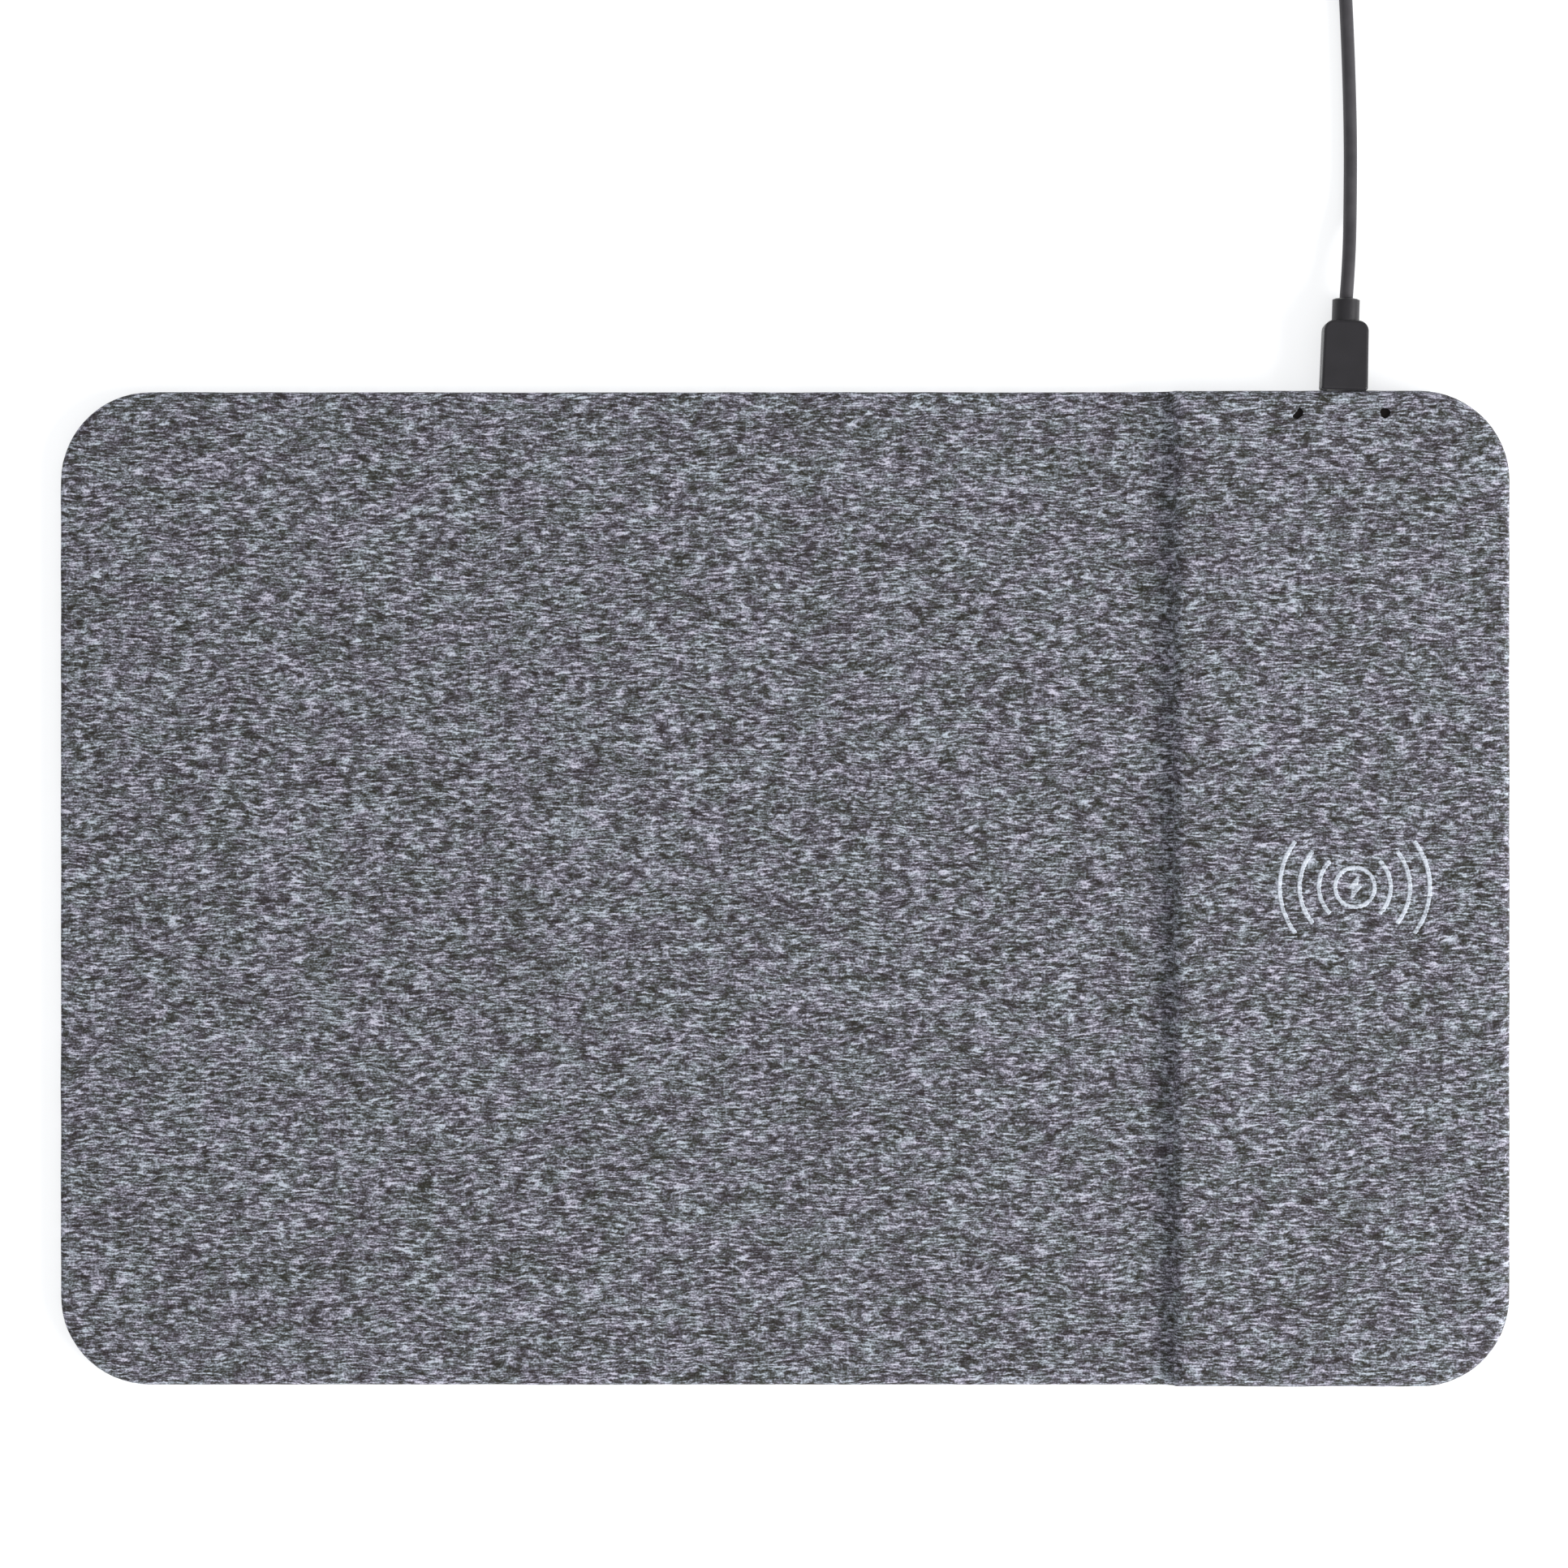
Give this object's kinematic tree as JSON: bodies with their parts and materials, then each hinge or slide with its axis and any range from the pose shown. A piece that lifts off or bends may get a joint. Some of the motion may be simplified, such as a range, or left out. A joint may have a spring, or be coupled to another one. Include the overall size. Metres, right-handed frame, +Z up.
{
  "type": "wireless charging mouse pad",
  "caption": "Flat cloth-covered mouse pad with rounded corners, a raised wireless charging module along its right side and a plugged-in USB lead.",
  "frame": {"origin": "on the table, under the middle of the pad's rounded-rectangle outline", "axes": "+X to the pad's right, where the charging module is; +Y to its back, where the lead plugs in; +Z up"},
  "size_m": [0.3, 0.3416, 0.0082],
  "materials": {
    "cloth": "grey melange knit",
    "symbol_ink": "screen-printed light grey ink",
    "rubber_sheet": "black anti-slip rubber, fine raised texture",
    "adhesive_tape": "double-sided adhesive film",
    "board_plastic": "black polypropylene sheet",
    "foam": "black closed-cell foam",
    "case_plastic": "black moulded ABS",
    "screw_steel": "black-zinc steel",
    "smoked_plastic": "smoked clear polycarbonate",
    "ferrite": "sintered ferrite, dark grey",
    "copper": "enamelled copper litz",
    "lead_sleeve": "silicone sleeve",
    "pcb_laminate": "green solder mask",
    "chip_plastic": "black moulding compound",
    "capacitor_ceramic": "tan ceramic",
    "led_lens": "clear epoxy over phosphor",
    "plated_steel": "nickel-plated stamped steel",
    "connector_plastic": "black high-temperature nylon",
    "connector_white": "white nylon",
    "contact_gold": "gold-flashed copper alloy",
    "plug_plastic": "charcoal soft PVC overmould",
    "cord_jacket": "charcoal PVC jacket",
    "tie_plastic": "black PVC twist tie"
  },
  "bodies": {
    "pad": {"fabric_cover": "cloth", "charge_symbol_print": "symbol_ink", "base_sheet": "rubber_sheet", "adhesive_sheet": "adhesive_tape", "base_board": "board_plastic", "foam_mat": "foam", "module_tray": "case_plastic", "module_lid": "case_plastic", "module_screws": "screw_steel", "light_pipes": "smoked_plastic", "ferrite_plate": "ferrite", "coil_tape": "adhesive_tape", "transmit_coil": "copper", "coil_leads": "lead_sleeve", "main_pcb": "pcb_laminate", "pcb_screws": "screw_steel", "controller_ic": "chip_plastic", "power_stage_ics": "chip_plastic", "power_inductor": "ferrite", "resonant_capacitors": "capacitor_ceramic", "ceramic_capacitors": "capacitor_ceramic", "resistors": "chip_plastic", "status_leds": "led_lens", "usb_socket_shell": "plated_steel", "usb_socket_insert": "connector_plastic", "usb_socket_contacts": "contact_gold"},
    "cable": {"plug_shell": "plated_steel", "plug_insert": "connector_plastic", "plug_contacts": "contact_gold", "plug_overmold": "plug_plastic", "plug_collar": "plug_plastic", "cord_tube": "cord_jacket", "cord_coil": "cord_jacket", "cord_tail": "cord_jacket", "cord_tie": "tie_plastic", "usb_a_strain_relief": "plug_plastic", "usb_a_overmold": "plug_plastic", "usb_a_shell": "plated_steel", "usb_a_insert": "connector_white", "usb_a_contacts": "contact_gold"}
  },
  "joints": [
    {"name": "usb_plug_pull", "type": "slide", "parent": "pad", "child": "cable", "axis": [0, 1, 0], "range_m": [0, 0.012]}
  ]
}
